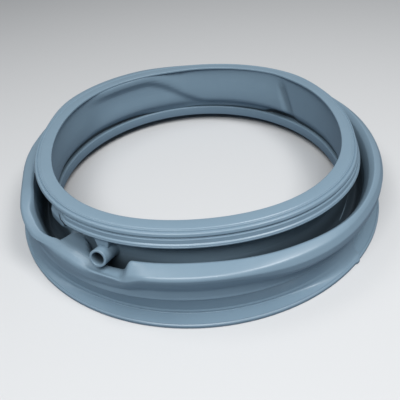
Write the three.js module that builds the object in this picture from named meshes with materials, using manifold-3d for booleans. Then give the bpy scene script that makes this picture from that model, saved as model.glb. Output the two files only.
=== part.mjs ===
// Washing machine door seal, moulded in one piece of grey rubber.
// Millimetres, +Z up. The origin is the centre of the flange's underside, and the hose spigot points to -Y.
// Azimuths are degrees from -Y, turning towards +X.
import * as THREE from 'three';
import * as BufferGeometryUtils from 'three/addons/utils/BufferGeometryUtils.js';
import Module from 'manifold-3d';

// Flange, the flat rim that the seal lies on
const FLANGE_RADIUS = 185.5;
const FLANGE_THICKNESS = 3.3;
const FLANGE_BEAD = 0.75;

// Foot wall, between the flange and the ridge below the fold
const FOOT_RADIUS = 172.2;
const RIDGE_RADIUS = 175.9;
const RIDGE_HEIGHT = 22;

// Bellows fold, a boxy roll with a deep recess behind it
const FOLD_RADIUS = 181.4;
const FOLD_INNER_RADIUS = 168.2;
const FOLD_HEIGHT = 56.4;
const RECESS_FLOOR = 20.4;
const WALL = 3.2;

// Collar, the ring on top: a flat face, a crease, a band, a groove and a lower bead
const COLLAR_INNER_RADIUS = 142.8;
const CREASE_RADIUS = 155.9;
const BEAD_RADIUS = 162.3;
const COLLAR_TOP = 76.3;
const COLLAR_UNDERSIDE = 63;

// Neck, the upright wall between the collar and the lip, with its thicker foot
const NECK_RADIUS = 146.6;
const NECK_WALL = 3.4;
const NECK_BOTTOM = 22.4;
const NECK_FOOT = { reach: 5, from: 21, to: 34, sharpness: 1.2 };
const NECK_FLARE = { reach: 6, from: 19, to: 50, sharpness: 1.3 };

// Inner lip, near the table
const LIP_RADIUS = 147;
const LIP_TOP = 20.7;
const LIP_BOTTOM = 12.6;
const LIP_THICKNESS = 2.6;

// The seal is a little square in plan: how far each ring stands out at the four corners
const CORNER_AZIMUTH = 67.5;
const COLLAR_SQUARENESS = 2.2;
const COLLAR_INNER_SQUARENESS = 2.5;
const NECK_SQUARENESS = 1.6;
const FOLD_SQUARENESS = 1.2;
const FOLD_INNER_SQUARENESS = 3;
const FOLD_INNER_TURN = -5.5;
const RIDGE_SQUARENESS = 1.1;

// The fold leans to one side of the flange, and the ridge to the other
const LEAN_AZIMUTH = 112.5;
const FOLD_LEAN = 2.2;
const RIDGE_LEAN = -1.2;

// Places round the seal, as the azimuths over which each one comes in and goes out again
const HIGH_SIDE = { rise: [-150, -120], fall: [-50, -42], lift: 1.8 };
const FULL_SIDE = { rise: [-150, -120], fall: [-98, -78], reach: 2.6 };
const FLAT_SIDE = { azimuth: -57, spread: 12, depth: 2.6 };
const WIDE_TOP = { rise: [-100, -75], fall: [-48, -40], reach: 2.6 };
const SOFT_SIDE = { rise: [46, 72], fall: [150, 190] };
const SOFT_POCKET = { rise: [-45, -39], fall: [-30, -25] };
const LOW_FOLD = { rise: [-45, -31], fall: [-2.5, 2.5], height: 43.6 };
const SET_BACK = { rise: [-34, -24], fall: [-2.5, 2.5], depth: 2.4 };
const SLOPE = { rise: [-34, -20], fall: [-17, -5], shoulder: 171 };
const NOTCH = { rise: [-18, -9], fall: [-2.5, 2.5], height: 40.6 };
const BRIDGE = { rise: [-28, -24], fall: [-21.5, -17.5] };
const BOSS = { rise: [-40, -34], fall: [-28, -22], depth: 9, centre: 51, spread: 10 };
const COLLAR_BACK = { rise: [150, 163], fall: [198, 213], reach: 2 };
const COLLAR_WIDE = { rise: [200, 228], fall: [258, 284], reach: 5 };
const COLLAR_NARROW = { rise: [76, 104], fall: [134, 156], reach: 3 };
const COLLAR_PINCH = { rise: [-58, -40], fall: [-29, -20], depth: 6.3 };
const RAMPS = [
  { rise: [44, 58], fall: [66.5, 69.5] },
  { rise: [-66, -52], fall: [-22, -6] },
];

// Inside face of the neck: a soft ledge that climbs round the back, and two panels that swell inwards
const LEDGE = { rise: [149.5, 156], fall: [236, 256], depth: 4.2, height: 31, climb: 34, from: 196, to: 232 };
const LEDGE_SLANT = 0.177;
const LOW_PANEL = { rise: [200, 214], fall: [238, 258], swell: 3, centre: 36, spread: 12 };
const SIDE_PANEL = { rise: [250, 268], fall: [290, 310], swell: 2.2, centre: 45, spread: 16 };
const FOOT_BACK = { rise: [160, 168], fall: [216, 232], reach: -1.4 };
const FOOT_LEFT = { rise: [222, 240], fall: [285, 310], reach: 1.2 };
const FOOT_TUCK = { rise: [147, 151], fall: [160, 166], reach: 3 };

// How many degrees later the bridge ends at each point of its section, from the neck out to the fold
const BRIDGE_LATE = { above: [0, 0, 0, 0, 0, 0, 0.8, 3, 5.5, 8, 8], below: [8, 8, 4, 1, 0, 0] };

// Small moulding tab on the flange's edge
const TAB = { rise: [66.5, 67.5], fall: [69.5, 70.5], reach: 1.9 };

// Hose spigot and the gusset over its root
const SPIGOT_RADIUS = 7.65;
const SPIGOT_BORE = 5.55;
const SPIGOT_LENGTH = 19;
const SPIGOT_TILT = 18;
const SPIGOT_ROOT = new THREE.Vector3(-21.2, -150.6, 46);
const SPIGOT_SIDES = 28;
const GUSSET = { side: -27.8, thickness: 3.8, reach: 160.5, bottom: 51 };

// Sections are closer together round the spigot and the low part of the fold
const FINE_FROM = -48;
const FINE_TO = 6;
const FINE_STEP = 2;
const COARSE_STEP = 6;

const wasm = await Module();
wasm.setup();

const rad = THREE.MathUtils.degToRad;
const lerp = THREE.MathUtils.lerp;
const smoothstep = THREE.MathUtils.smoothstep;

// How much of a place there is at an azimuth, from 0 to 1
function within(azimuth, { rise, fall }) {
  const middle = (rise[0] + fall[1]) / 2;
  const near = middle - 180 + THREE.MathUtils.euclideanModulo(azimuth - middle + 180, 360);
  return smoothstep(near, rise[0], rise[1]) * (1 - smoothstep(near, fall[0], fall[1]));
}

function bell(x, centre, spread) {
  return Math.exp(-(((x - centre) / spread) ** 2));
}

// How far the plan stands out at this azimuth, from -1 on a flat side to 1 in a corner
function squareness(azimuth, turn = 0) {
  return Math.cos(rad(4 * (azimuth - CORNER_AZIMUTH - turn)));
}

function lean(azimuth) {
  return Math.cos(rad(azimuth - LEAN_AZIMUTH));
}

function blend(points, others, shareAt) {
  return points.map(([r, z], i) => [lerp(r, others[i][0], shareAt(i)), lerp(z, others[i][1], shareAt(i))]);
}

function neckCorner(azimuth, z) {
  return (NECK_SQUARENESS * squareness(azimuth) * z) / COLLAR_TOP;
}

// The ledge stands in above a level that climbs round the back
function ledgeDepth(azimuth, z) {
  const turned = THREE.MathUtils.euclideanModulo(azimuth + 60, 360) - 60;
  const climbing = smoothstep(turned, LEDGE.from, LEDGE.to);
  const above = z - LEDGE.height - LEDGE.climb * climbing;
  const shape = smoothstep(above, -5, 4) * (1 - smoothstep(above, 6, lerp(44, 20, climbing)));
  return LEDGE.depth * within(azimuth - LEDGE_SLANT * (z - 38), LEDGE) * shape;
}

function neckInside(azimuth, z) {
  const swell = (panel) => panel.swell * within(azimuth, panel) * bell(z, panel.centre, panel.spread);
  const feet = [FOOT_BACK, FOOT_LEFT, FOOT_TUCK].map((p) => p.reach * within(azimuth, p));
  const reach = feet.reduce((sum, foot) => sum + foot, NECK_FOOT.reach);
  const foot = reach * (1 - smoothstep(z, NECK_FOOT.from, NECK_FOOT.to)) ** NECK_FOOT.sharpness;
  const panels = swell(LOW_PANEL) + swell(SIDE_PANEL);
  return NECK_RADIUS + foot + neckCorner(azimuth, z) - ledgeDepth(azimuth, z) - panels;
}

function neckOutside(azimuth, z) {
  const boss = BOSS.depth * within(azimuth, BOSS) * bell(z, BOSS.centre, BOSS.spread);
  const { reach, from, to, sharpness } = NECK_FLARE;
  const flare = reach * (1 - smoothstep(z, from, to)) ** sharpness;
  return NECK_RADIUS + NECK_WALL + flare + neckCorner(azimuth, z) + boss;
}

// Sizes of the fold at one azimuth
function foldAt(azimuth) {
  const low = within(azimuth, LOW_FOLD);
  const notch = within(azimuth, NOTCH);
  const side = FOLD_LEAN * lean(azimuth) - SET_BACK.depth * within(azimuth, SET_BACK);
  const wideTop = WIDE_TOP.reach * within(azimuth, WIDE_TOP);
  const full = FOLD_HEIGHT + HIGH_SIDE.lift * within(azimuth, HIGH_SIDE);
  const flat = FLAT_SIDE.depth * bell(azimuth, FLAT_SIDE.azimuth, FLAT_SIDE.spread);
  const wide = FULL_SIDE.reach * within(azimuth, FULL_SIDE) - flat;
  const innerCorner = FOLD_INNER_SQUARENESS * squareness(azimuth, FOLD_INNER_TURN);
  const inner = FOLD_INNER_RADIUS + innerCorner + side - wideTop;
  const ridge = RIDGE_RADIUS + RIDGE_SQUARENESS * squareness(azimuth) + RIDGE_LEAN * lean(azimuth);
  return {
    notch,
    inner,
    ridge,
    bridge: (late) => within(azimuth, { rise: BRIDGE.rise, fall: BRIDGE.fall.map((edge) => edge + late) }),
    slope: within(azimuth, SLOPE),
    soft: Math.max(within(azimuth, SOFT_SIDE), within(azimuth, SOFT_POCKET)),
    height: lerp(lerp(full, LOW_FOLD.height, low), NOTCH.height, notch),
    outer: FOLD_RADIUS + FOLD_SQUARENESS * squareness(azimuth) + side + wide,
    floorInner: neckOutside(azimuth, RECESS_FLOOR + 5),
    floorOuter: Math.min(inner - 2.6, ridge - 2 * WALL - 3),
  };
}

// Stepped outline of the collar, from its inner rim round to its underside
function collarPoints(azimuth) {
  const corner = squareness(azimuth);
  const narrow = COLLAR_NARROW.reach * within(azimuth, COLLAR_NARROW);
  const back = COLLAR_BACK.reach * within(azimuth, COLLAR_BACK);
  const inner = COLLAR_INNER_RADIUS + COLLAR_INNER_SQUARENESS * corner + back;
  const crease = CREASE_RADIUS + COLLAR_SQUARENESS * corner - 0.7 * narrow;
  const wide = COLLAR_WIDE.reach * within(azimuth, COLLAR_WIDE);
  const bead = BEAD_RADIUS + COLLAR_SQUARENESS * corner - narrow + wide;
  const low = bead - COLLAR_PINCH.depth * within(azimuth, COLLAR_PINCH);
  const groove = Math.min(bead - 3.9, low - 1.6);
  return [
    [inner, COLLAR_TOP - 2.2],
    [inner, COLLAR_TOP - 0.5],
    [inner + 0.6, COLLAR_TOP],
    [crease - 2.6, COLLAR_TOP],
    [crease - 1.9, COLLAR_TOP - 0.3],
    [crease - 0.6, COLLAR_TOP - 0.1],
    [crease, COLLAR_TOP - 1],
    [crease + 0.7, COLLAR_TOP - 0.5],
    [bead - 4.7, COLLAR_TOP - 1],
    [bead - 3.6, COLLAR_TOP - 1.9],
    [bead - 3.1, COLLAR_TOP - 3.8],
    [groove, COLLAR_TOP - 4.6],
    [groove + 0.1, COLLAR_TOP - 5.4],
    [low - 2.3, COLLAR_TOP - 5.6],
    [low - 2, COLLAR_TOP - 9.4],
    [low - 0.9, COLLAR_TOP - 10],
    [low, COLLAR_TOP - 11.4],
    [low - 0.2, COLLAR_UNDERSIDE + 0.7],
    [low - 1.4, COLLAR_UNDERSIDE],
  ];
}

// Down the outside of the neck, through the recess and up behind the fold; the bridge closes the recess
function recessPoints(azimuth, fold) {
  const { floorInner, floorOuter } = fold;
  const open = [
    [neckOutside(azimuth, 61.6), 61.6],
    [neckOutside(azimuth, 55), 55],
    [neckOutside(azimuth, 48), 48],
    [neckOutside(azimuth, 41), 41],
    [neckOutside(azimuth, 33), 33],
    [floorInner, RECESS_FLOOR + 5],
    [lerp(floorInner, floorOuter, 0.3), RECESS_FLOOR + 0.4],
    [lerp(floorInner, floorOuter, 0.75), RECESS_FLOOR + 0.4],
    [floorOuter, RECESS_FLOOR + 5],
    [fold.inner - lerp(0.9, 2, fold.soft), fold.height - lerp(9, 15, fold.soft)],
    [fold.inner + lerp(0.4, 1.6, fold.soft), fold.height - lerp(1.9, 5, fold.soft)],
  ];
  const start = neckOutside(azimuth, 46);
  const bridged = [
    [neckOutside(azimuth, 61.6), 61.6],
    [neckOutside(azimuth, 57), 57],
    [neckOutside(azimuth, 53), 53],
    [neckOutside(azimuth, 49.5), 49.5],
    [start + 0.3, fold.height + 2.4],
    [start + 1.4, fold.height + 0.9],
    [start + 3, fold.height + 0.4],
    [lerp(start, fold.inner, 0.5), fold.height + 0.3],
    [lerp(start, fold.inner, 0.75), fold.height + 0.2],
    [fold.inner, fold.height + 0.1],
    [fold.inner + 1.4, fold.height],
  ];
  return blend(open, bridged, (i) => fold.bridge(BRIDGE_LATE.above[i]));
}

// Over the crown of the fold and down its outside to the ridge; the crown slopes away over the bridge
function crownPoints(fold) {
  const up = (share) => lerp(RIDGE_HEIGHT, fold.height, share);
  const boxy = [
    [fold.inner + lerp(2.6, 5.2, fold.soft), fold.height - lerp(0.3, 2.2, fold.notch)],
    [fold.outer - 5, fold.height - lerp(1.9, 2.2, fold.notch)],
    [fold.outer - 1.8, fold.height - lerp(4.4, 0.2, fold.notch)],
    [fold.outer - 0.8, fold.height - lerp(6.6, 1.2, fold.notch)],
    [fold.outer - 0.6, up(0.64)],
    [lerp(fold.ridge, fold.outer, 0.38), up(0.44)],
    [fold.ridge - 0.5, up(0.24)],
    [fold.ridge, RIDGE_HEIGHT + 0.8],
  ];
  const sloped = [
    [SLOPE.shoulder - 2, fold.height - 0.1],
    [SLOPE.shoulder, fold.height - 0.8],
    [SLOPE.shoulder + 1.8, fold.height - 2.4],
    [SLOPE.shoulder + 3, fold.height - 4],
    [SLOPE.shoulder + 4.6, up(0.64)],
    [SLOPE.shoulder + 6.2, up(0.42)],
    [lerp(fold.ridge, SLOPE.shoulder + 6.8, 0.5), up(0.2)],
    [fold.ridge, RIDGE_HEIGHT + 0.8],
  ];
  return blend(boxy, sloped, () => fold.slope);
}

// Down the foot wall, over the flange and round its beaded edge
function footPoints(azimuth, fold) {
  const ramp = Math.max(...RAMPS.map((place) => within(azimuth, place)));
  const foot = FOOT_RADIUS + 0.7 * squareness(azimuth);
  const edge = FLANGE_RADIUS + TAB.reach * within(azimuth, TAB);
  return [
    [fold.ridge - lerp(0.7, 0.1, ramp), RIDGE_HEIGHT - 1.2],
    [lerp(foot, fold.ridge + 3.2, ramp), lerp(FLANGE_THICKNESS + 3.4, 11.2, ramp)],
    [lerp(foot + 1.4, fold.ridge + 5.2, ramp), FLANGE_THICKNESS + lerp(1.3, 3, ramp)],
    [edge - 2.3, FLANGE_THICKNESS],
    [edge - 1.2, FLANGE_THICKNESS + FLANGE_BEAD],
    [edge, FLANGE_THICKNESS - 0.4],
    [edge, 0.5],
    [edge - 0.6, 0],
    [foot - WALL + 0.4, 0],
    [foot - WALL, 6],
  ];
}

// The hollow inside the fold, open towards the table
function hollowPoints(azimuth, fold) {
  const up = (share) => lerp(RIDGE_HEIGHT, fold.height, share);
  const { floorInner, floorOuter } = fold;
  const outer = lerp(fold.outer, SLOPE.shoulder + 6.6, fold.slope);
  const open = [
    [fold.inner + lerp(4.2, 4.8, fold.soft), fold.height - WALL - lerp(0.4, 1.4, fold.soft)],
    [fold.inner + lerp(2.2, 1.6, fold.soft), fold.height - lerp(8, 14, fold.soft)],
    [floorOuter + WALL, RECESS_FLOOR + 5],
    [floorOuter - 0.4, RECESS_FLOOR - 2],
    [lerp(floorInner, floorOuter, 0.4), RECESS_FLOOR - WALL - 0.2],
    [153, RECESS_FLOOR - WALL - 0.2],
  ];
  const bridged = [
    [fold.inner + 4, fold.height - WALL - 0.4],
    [fold.inner + 1, fold.height - WALL - 0.3],
    [lerp(neckOutside(azimuth, 46), fold.inner, 0.6), fold.height - WALL - 0.4],
    [neckOutside(azimuth, 36) + 2.5, fold.height - WALL - 1],
    [neckOutside(azimuth, 30), 30],
    [157.5, RECESS_FLOOR - WALL + 1.5],
  ];
  const roof = [
    [fold.ridge - WALL - 0.2, RIDGE_HEIGHT],
    [lerp(fold.ridge, outer, 0.05) - WALL - 0.2, up(0.25)],
    [lerp(fold.ridge, outer, 0.4) - WALL, up(0.46)],
    [outer - WALL - lerp(1, 2.4, fold.slope), up(0.62)],
    [outer - WALL - lerp(2.6, 4.6, fold.slope), fold.height - WALL - lerp(3.2, 3.6, fold.slope)],
  ];
  return [...roof, ...blend(open, bridged, (i) => fold.bridge(BRIDGE_LATE.below[i]))];
}

// The lip, from its underside round to the crease behind it
function lipPoints(azimuth) {
  const crease = neckInside(azimuth, NECK_BOTTOM) + 1.4;
  return [
    [LIP_RADIUS + LIP_THICKNESS + 0.6, LIP_TOP - 4],
    [LIP_RADIUS + LIP_THICKNESS, LIP_BOTTOM],
    [LIP_RADIUS + 0.6, LIP_BOTTOM],
    [LIP_RADIUS, LIP_BOTTOM + 0.8],
    [LIP_RADIUS, LIP_TOP - 0.7],
    [LIP_RADIUS + 0.7, LIP_TOP],
    [LIP_RADIUS + LIP_THICKNESS, LIP_TOP + 0.3],
    [LIP_RADIUS + LIP_THICKNESS + 0.8, LIP_TOP - 0.9],
    [crease, LIP_TOP - 0.7],
  ];
}

function neckPoints(azimuth) {
  const levels = [NECK_BOTTOM, 25, 28.5, 32.5, 37, 42, 47, 53, 60, 67, COLLAR_TOP - 2.7];
  return levels.map((z) => [neckInside(azimuth, z), z]);
}

// One closed section of the seal at an azimuth, as [radius, height] pairs
function section(azimuth) {
  const fold = foldAt(azimuth);
  return [
    ...collarPoints(azimuth),
    ...recessPoints(azimuth, fold),
    ...crownPoints(fold),
    ...footPoints(azimuth, fold),
    ...hollowPoints(azimuth, fold),
    ...lipPoints(azimuth),
    ...neckPoints(azimuth),
  ];
}

function azimuthSteps() {
  const steps = [];
  for (let azimuth = FINE_FROM; azimuth < FINE_TO; azimuth += FINE_STEP) {
    steps.push(azimuth);
  }
  for (let azimuth = FINE_TO; azimuth < FINE_FROM + 360; azimuth += COARSE_STEP) {
    steps.push(azimuth);
  }
  return steps;
}

// Closed skin through the rings of points that ringAt gives at each azimuth
function sweepRound(ringAt, steps) {
  const positions = [];
  const indices = [];
  const rings = steps.map(ringAt);
  const count = rings[0].length;
  rings.forEach((ring, i) => {
    const angle = rad(steps[i]);
    for (const [radius, z] of ring) {
      positions.push(radius * Math.sin(angle), -radius * Math.cos(angle), z);
    }
  });
  for (let i = 0; i < rings.length; i += 1) {
    const next = (i + 1) % rings.length;
    for (let j = 0; j < count; j += 1) {
      const after = (j + 1) % count;
      const a = i * count + j;
      const b = i * count + after;
      const c = next * count + after;
      const d = next * count + j;
      indices.push(a, b, c, a, c, d);
    }
  }
  const geometry = new THREE.BufferGeometry();
  geometry.setAttribute('position', new THREE.Float32BufferAttribute(positions, 3));
  geometry.setIndex(indices);
  return geometry;
}

function toSolid(geometry) {
  const bare = geometry.clone();
  bare.deleteAttribute('normal');
  bare.deleteAttribute('uv');
  const merged = BufferGeometryUtils.mergeVertices(bare, 1e-4);
  const vertProperties = new Float32Array(merged.attributes.position.array);
  const triVerts = new Uint32Array(merged.index.array);
  return new wasm.Manifold(new wasm.Mesh({ numProp: 3, vertProperties, triVerts }));
}

function toGeometry(solid) {
  const mesh = solid.getMesh();
  const geometry = new THREE.BufferGeometry();
  geometry.setAttribute('position', new THREE.BufferAttribute(new Float32Array(mesh.vertProperties), 3));
  geometry.setIndex(new THREE.BufferAttribute(new Uint32Array(mesh.triVerts), 1));
  geometry.computeVertexNormals();
  return geometry;
}

// A cylinder along the spigot's axis, between two distances from its root
function alongSpigot(radius, start, end) {
  const geometry = new THREE.CylinderGeometry(radius, radius, end - start, SPIGOT_SIDES);
  geometry.translate(0, (start + end) / 2, 0);
  geometry.rotateX(rad(180 - SPIGOT_TILT));
  geometry.translate(SPIGOT_ROOT.x, SPIGOT_ROOT.y, SPIGOT_ROOT.z);
  return geometry;
}

// Upright gusset between the collar, the neck and the spigot
function gusset() {
  const { side, thickness, reach, bottom } = GUSSET;
  const outline = new THREE.Shape();
  outline.moveTo(reach - 12, bottom - 2);
  outline.lineTo(reach, bottom);
  outline.lineTo(reach - 2, COLLAR_UNDERSIDE + 1);
  outline.lineTo(reach - 12, COLLAR_UNDERSIDE + 1);
  const plate = new THREE.ExtrudeGeometry(outline, { depth: thickness, bevelEnabled: false });
  const out = new THREE.Vector3(0, -1, 0);
  const up = new THREE.Vector3(0, 0, 1);
  plate.applyMatrix4(new THREE.Matrix4().makeBasis(out, up, out.clone().cross(up)));
  plate.translate(side, 0, 0);
  return plate;
}

// The room inside the neck, cut a little into its wall, so what stands on the neck ends within the wall
function roomInsideNeck() {
  const levels = [66, 58, 50, 42, 34, 26];
  const ringAt = (azimuth) => {
    const wall = levels.map((z) => [neckInside(azimuth, z) + WALL / 3, z]);
    return [[100, levels[0]], ...wall, [100, levels.at(-1)]];
  };
  return sweepRound(ringAt, azimuthSteps());
}

function buildSeal() {
  const room = toSolid(roomInsideNeck());
  const standing = toSolid(alongSpigot(SPIGOT_RADIUS, -10, SPIGOT_LENGTH)).add(toSolid(gusset()));
  const bore = toSolid(alongSpigot(SPIGOT_BORE, -25, SPIGOT_LENGTH + 5));
  const body = toSolid(sweepRound(section, azimuthSteps()));
  return toGeometry(body.add(standing.subtract(room)).subtract(bore));
}

const rubber = new THREE.MeshStandardMaterial({ color: 0x788b97, roughness: 0.55, metalness: 0 });
const seal = new THREE.Mesh(buildSeal(), rubber);
seal.name = 'door_seal';

const doorSeal = new THREE.Group();
doorSeal.add(seal);

export default doorSeal;
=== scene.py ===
"""Looks of a washing machine door seal: one grey rubber moulding lying on its flange.

The seal is swept round its axis from one closed section that changes with azimuth. Azimuths are degrees from -Y,
turning towards +X, and the section's sizes are in millimetres. The hose spigot and its gusset stand on the neck.
"""

import logging
import math
from collections.abc import Mapping, Sequence
from dataclasses import dataclass, field
from enum import Enum

import bpy
import numpy as np
from mathutils import Matrix, Vector


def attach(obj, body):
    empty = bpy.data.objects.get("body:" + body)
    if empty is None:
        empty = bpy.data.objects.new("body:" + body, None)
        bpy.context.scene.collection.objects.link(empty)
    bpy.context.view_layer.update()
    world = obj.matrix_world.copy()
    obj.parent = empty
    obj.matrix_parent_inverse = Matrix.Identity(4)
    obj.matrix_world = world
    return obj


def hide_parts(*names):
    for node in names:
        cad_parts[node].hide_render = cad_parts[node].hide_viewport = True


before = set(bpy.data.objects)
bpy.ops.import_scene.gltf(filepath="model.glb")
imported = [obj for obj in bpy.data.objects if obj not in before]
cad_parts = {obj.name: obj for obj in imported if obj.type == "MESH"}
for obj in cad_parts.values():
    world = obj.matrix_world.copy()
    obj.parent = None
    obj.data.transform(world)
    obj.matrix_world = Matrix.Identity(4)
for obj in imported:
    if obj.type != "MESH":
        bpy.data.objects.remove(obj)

LOG = logging.getLogger("door_seal")
MM = 0.001
SEAL_HEIGHT = 76.3
Array = np.ndarray
Number = float | Array
Span = tuple[float, float]
Colour = tuple[float, float, float, float]


def smooth(x: Number, low: Number, high: Number) -> Array:
    """Rises smoothly from 0 to 1.

    Args:
        x: Where to look.
        low: Where the rise starts.
        high: Where the rise ends.

    Returns:
        The height of the rise at x.
    """
    t = np.clip((np.asarray(x, float) - low) / (high - low), 0.0, 1.0)
    return t * t * (3.0 - 2.0 * t)


def mix(first: Number, second: Number, share: Number) -> Array:
    """Goes from the first value to the second as share goes from 0 to 1."""
    return first + (second - first) * np.asarray(share, float)


def bell(x: Number, centre: Number, spread: Number) -> Array:
    """A bump of height 1 at the centre."""
    return np.exp(-(((np.asarray(x, float) - centre) / spread) ** 2))


def wrapped(azimuth: Array, start: float) -> Array:
    """The azimuths brought within one turn from start."""
    return start + np.mod(azimuth - start, 360)


@dataclass(frozen=True)
class Place:
    """A stretch of the seal's round.

    Attributes:
        rise: The azimuths between which it comes in.
        fall: The azimuths between which it goes out again.
    """

    rise: Span
    fall: Span

    def share(self, azimuth: Array) -> Array:
        """How much of the place there is, from 0 to 1.

        Args:
            azimuth: Degrees from -Y.

        Returns:
            One share for each azimuth.
        """
        middle = (self.rise[0] + self.fall[1]) / 2
        near = wrapped(azimuth, middle - 180)
        return smooth(near, *self.rise) * (1 - smooth(near, *self.fall))


@dataclass(frozen=True)
class Swell:
    """A size that changes over a stretch of the seal's round.

    Attributes:
        place: The stretch.
        reach: How much the size changes there.
    """

    place: Place
    reach: float

    def at(self, azimuth: Array) -> Array:
        """The change at each azimuth."""
        return self.reach * self.place.share(azimuth)


@dataclass(frozen=True)
class Bump:
    """A size that changes softly round one azimuth.

    Attributes:
        centre: The azimuth.
        spread: How far the change reaches, in degrees.
        reach: How much the size changes there.
    """

    centre: float
    spread: float
    reach: float

    def at(self, azimuth: Array) -> Array:
        """The change at each azimuth."""
        return self.reach * bell(azimuth, self.centre, self.spread)


@dataclass(frozen=True)
class Plan:
    """How the seal departs from round, seen from above.

    Attributes:
        corner: Azimuth of one of its four soft corners.
        side: Azimuth of the side that the fold leans to.
    """

    corner: float = 67.5
    side: float = 112.5

    def squareness(self, azimuth: Array, turned: float = 0.0) -> Array:
        """From -1 on a flat side to 1 in a corner, with the corners turned on by some degrees."""
        return np.cos(np.radians(4 * (azimuth - self.corner - turned)))

    def lean(self, azimuth: Array) -> Array:
        """From 1 on the side that the fold leans to, to -1 on the other."""
        return np.cos(np.radians(azimuth - self.side))


@dataclass(frozen=True)
class Corner:
    """One corner of the section at every azimuth.

    Attributes:
        radius: Distance from the axis.
        height: Height over the table.
        fillet: Radius of the rounding.
        arc: Straight steps that the rounding takes.
        run: Straight steps from this corner to the next.
    """

    radius: Number
    height: Number
    fillet: Number = 0.4
    arc: int = 2
    run: int = 1

    def at(self, azimuth: Array) -> Array:
        """The corner as one radius and height for each azimuth."""
        pair = [np.broadcast_to(size, azimuth.shape) for size in (self.radius, self.height)]
        return np.stack(pair, -1).astype(float)

    def towards(self, other: "Corner", share: Array) -> "Corner":
        """Moves this corner to another one.

        Args:
            other: The corner to move to.
            share: How far to move at each azimuth, from 0 to 1.

        Returns:
            The moved corner.
        """
        return Corner(
            mix(self.radius, other.radius, share),
            mix(self.height, other.height, share),
            mix(self.fillet, other.fillet, share),
            self.arc,
            self.run,
        )


@dataclass
class Outline:
    """The closed section of the seal at every azimuth, as rounded corners joined by straights.

    Attributes:
        azimuth: Degrees from -Y, rising.
        corners: The corners in order round the section.
        least_cut: The least share of a straight that a rounding takes.
        most_cut: The most that it takes.
    """

    azimuth: Array
    corners: list[Corner] = field(default_factory=list)
    least_cut: float = 0.08
    most_cut: float = 0.46

    def add(self, *corners: Corner) -> None:
        """Adds corners after the last one."""
        self.corners.extend(corners)

    def path(self) -> Array:
        """Rounds the corners.

        Returns:
            Radius and height of each point of the section at each azimuth.
        """
        place = np.stack([c.at(self.azimuth) for c in self.corners])
        back = np.roll(place, 1, 0) - place
        ahead = np.roll(place, -1, 0) - place
        back_length = np.linalg.norm(back, axis=-1)
        ahead_length = np.linalg.norm(ahead, axis=-1)
        cosine = np.clip((back * ahead).sum(-1) / (back_length * ahead_length), -0.9999, 0.9999)
        fillet = np.stack([np.broadcast_to(c.fillet, self.azimuth.shape) for c in self.corners])
        shorter = np.minimum(back_length, ahead_length)
        wanted = fillet / np.tan(np.arccos(cosine) / 2)
        cut = np.clip(wanted, self.least_cut * shorter, self.most_cut * shorter)
        enter = place + back * (cut / back_length)[..., None]
        leave = place + ahead * (cut / ahead_length)[..., None]
        points = []
        for i, corner in enumerate(self.corners):
            for s in np.linspace(0, 1, corner.arc + 1):
                points.append((1 - s) ** 2 * enter[i] + 2 * s * (1 - s) * place[i] + s * s * leave[i])
            following = enter[(i + 1) % len(self.corners)]
            points.extend(mix(leave[i], following, s) for s in np.linspace(0, 1, corner.run + 1)[1:-1])
        return np.stack(points, 1)


@dataclass
class Collar:
    """The stepped and grooved ring on top.

    Attributes:
        plan: How the seal departs from round.
        top: Height of its top face.
        inner: Radius of its inner rim.
        crease: Radius of the thin crease between the top face and the outer bead.
        bead: Radius of the outer bead.
        squareness: How far its soft corners stand out.
        inner_square: How much more of that its inner rim has.
        rim_depth: Depth of the inner rim.
        back: Where its inner rim lies further out.
        wide: Where its bead lies further out.
        narrow: Where its bead lies further in.
        narrow_crease: How much of that its crease follows.
        pinch: Where its lower steps lie further in.
    """

    plan: Plan
    top: float = SEAL_HEIGHT
    inner: float = 142.8
    crease: float = 155.9
    bead: float = 162.3
    squareness: float = 2.2
    inner_square: float = 1.15
    rim_depth: float = 2.5
    back: Swell = Swell(Place((150, 163), (198, 213)), 2.0)
    wide: Swell = Swell(Place((200, 228), (258, 284)), 5.0)
    narrow: Swell = Swell(Place((76, 104), (134, 156)), 3.0)
    narrow_crease: float = 0.7
    pinch: Swell = Swell(Place((-58, -40), (-29, -20)), 6.3)

    def draw(self, outline: Outline) -> None:
        """Adds the ring from its inner rim round to its underside.

        Args:
            outline: The section to add to.
        """
        azimuth = outline.azimuth
        shift = self.squareness * self.plan.squareness(azimuth)
        narrow = self.narrow.at(azimuth)
        inner = self.inner + self.inner_square * shift + self.back.at(azimuth)
        crease = self.crease + shift - self.narrow_crease * narrow
        bead = self.bead + shift - narrow + self.wide.at(azimuth)
        low = bead - self.pinch.at(azimuth)
        shelf = bead - 3.9
        groove = np.minimum(shelf, low - 1.6) - 0.5
        top = self.top
        outline.add(
            Corner(inner + 0.5, top - self.rim_depth, 0.25),
            Corner(inner, top - self.rim_depth + 0.5, 0.3),
            Corner(inner, top, 0.9, 3),
            Corner(crease - 3.0, top, 0.8, 2),
            Corner(crease - 2.1, top - 0.7, 0.6, 2),
            Corner(crease - 1.3, top - 0.1, 0.5, 3),
            Corner(crease - 0.5, top - 0.2, 0.4, 2),
            Corner(crease, top - 1.9, 0.2, 2),
            Corner(crease + 0.8, top - 0.7, 0.6, 3),
            Corner(shelf, top - 1.2, 1.5, 4),
            Corner(bead - 3.0, top - 3.6, 0.5, 3),
            Corner(groove, top - 4.5, 0.3, 2),
            Corner(groove, top - 5.6, 0.3, 2),
            Corner(low - 2.3, top - 5.6, 0.5, 3),
            Corner(low - 2.0, top - 9.4, 0.5, 2),
            Corner(low - 0.9, top - 10.0, 0.4, 2),
            Corner(low - 0.3, top - 10.8, 0.15, 1),
            Corner(low - 0.5, top - 11.1, 0.1, 1),
            Corner(low, top - 11.4, 0.3, 2),
            Corner(low - 0.2, top - 12.6, 0.4, 2),
            Corner(low - 1.4, top - 13.3, 0.4, 2),
        )


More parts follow.
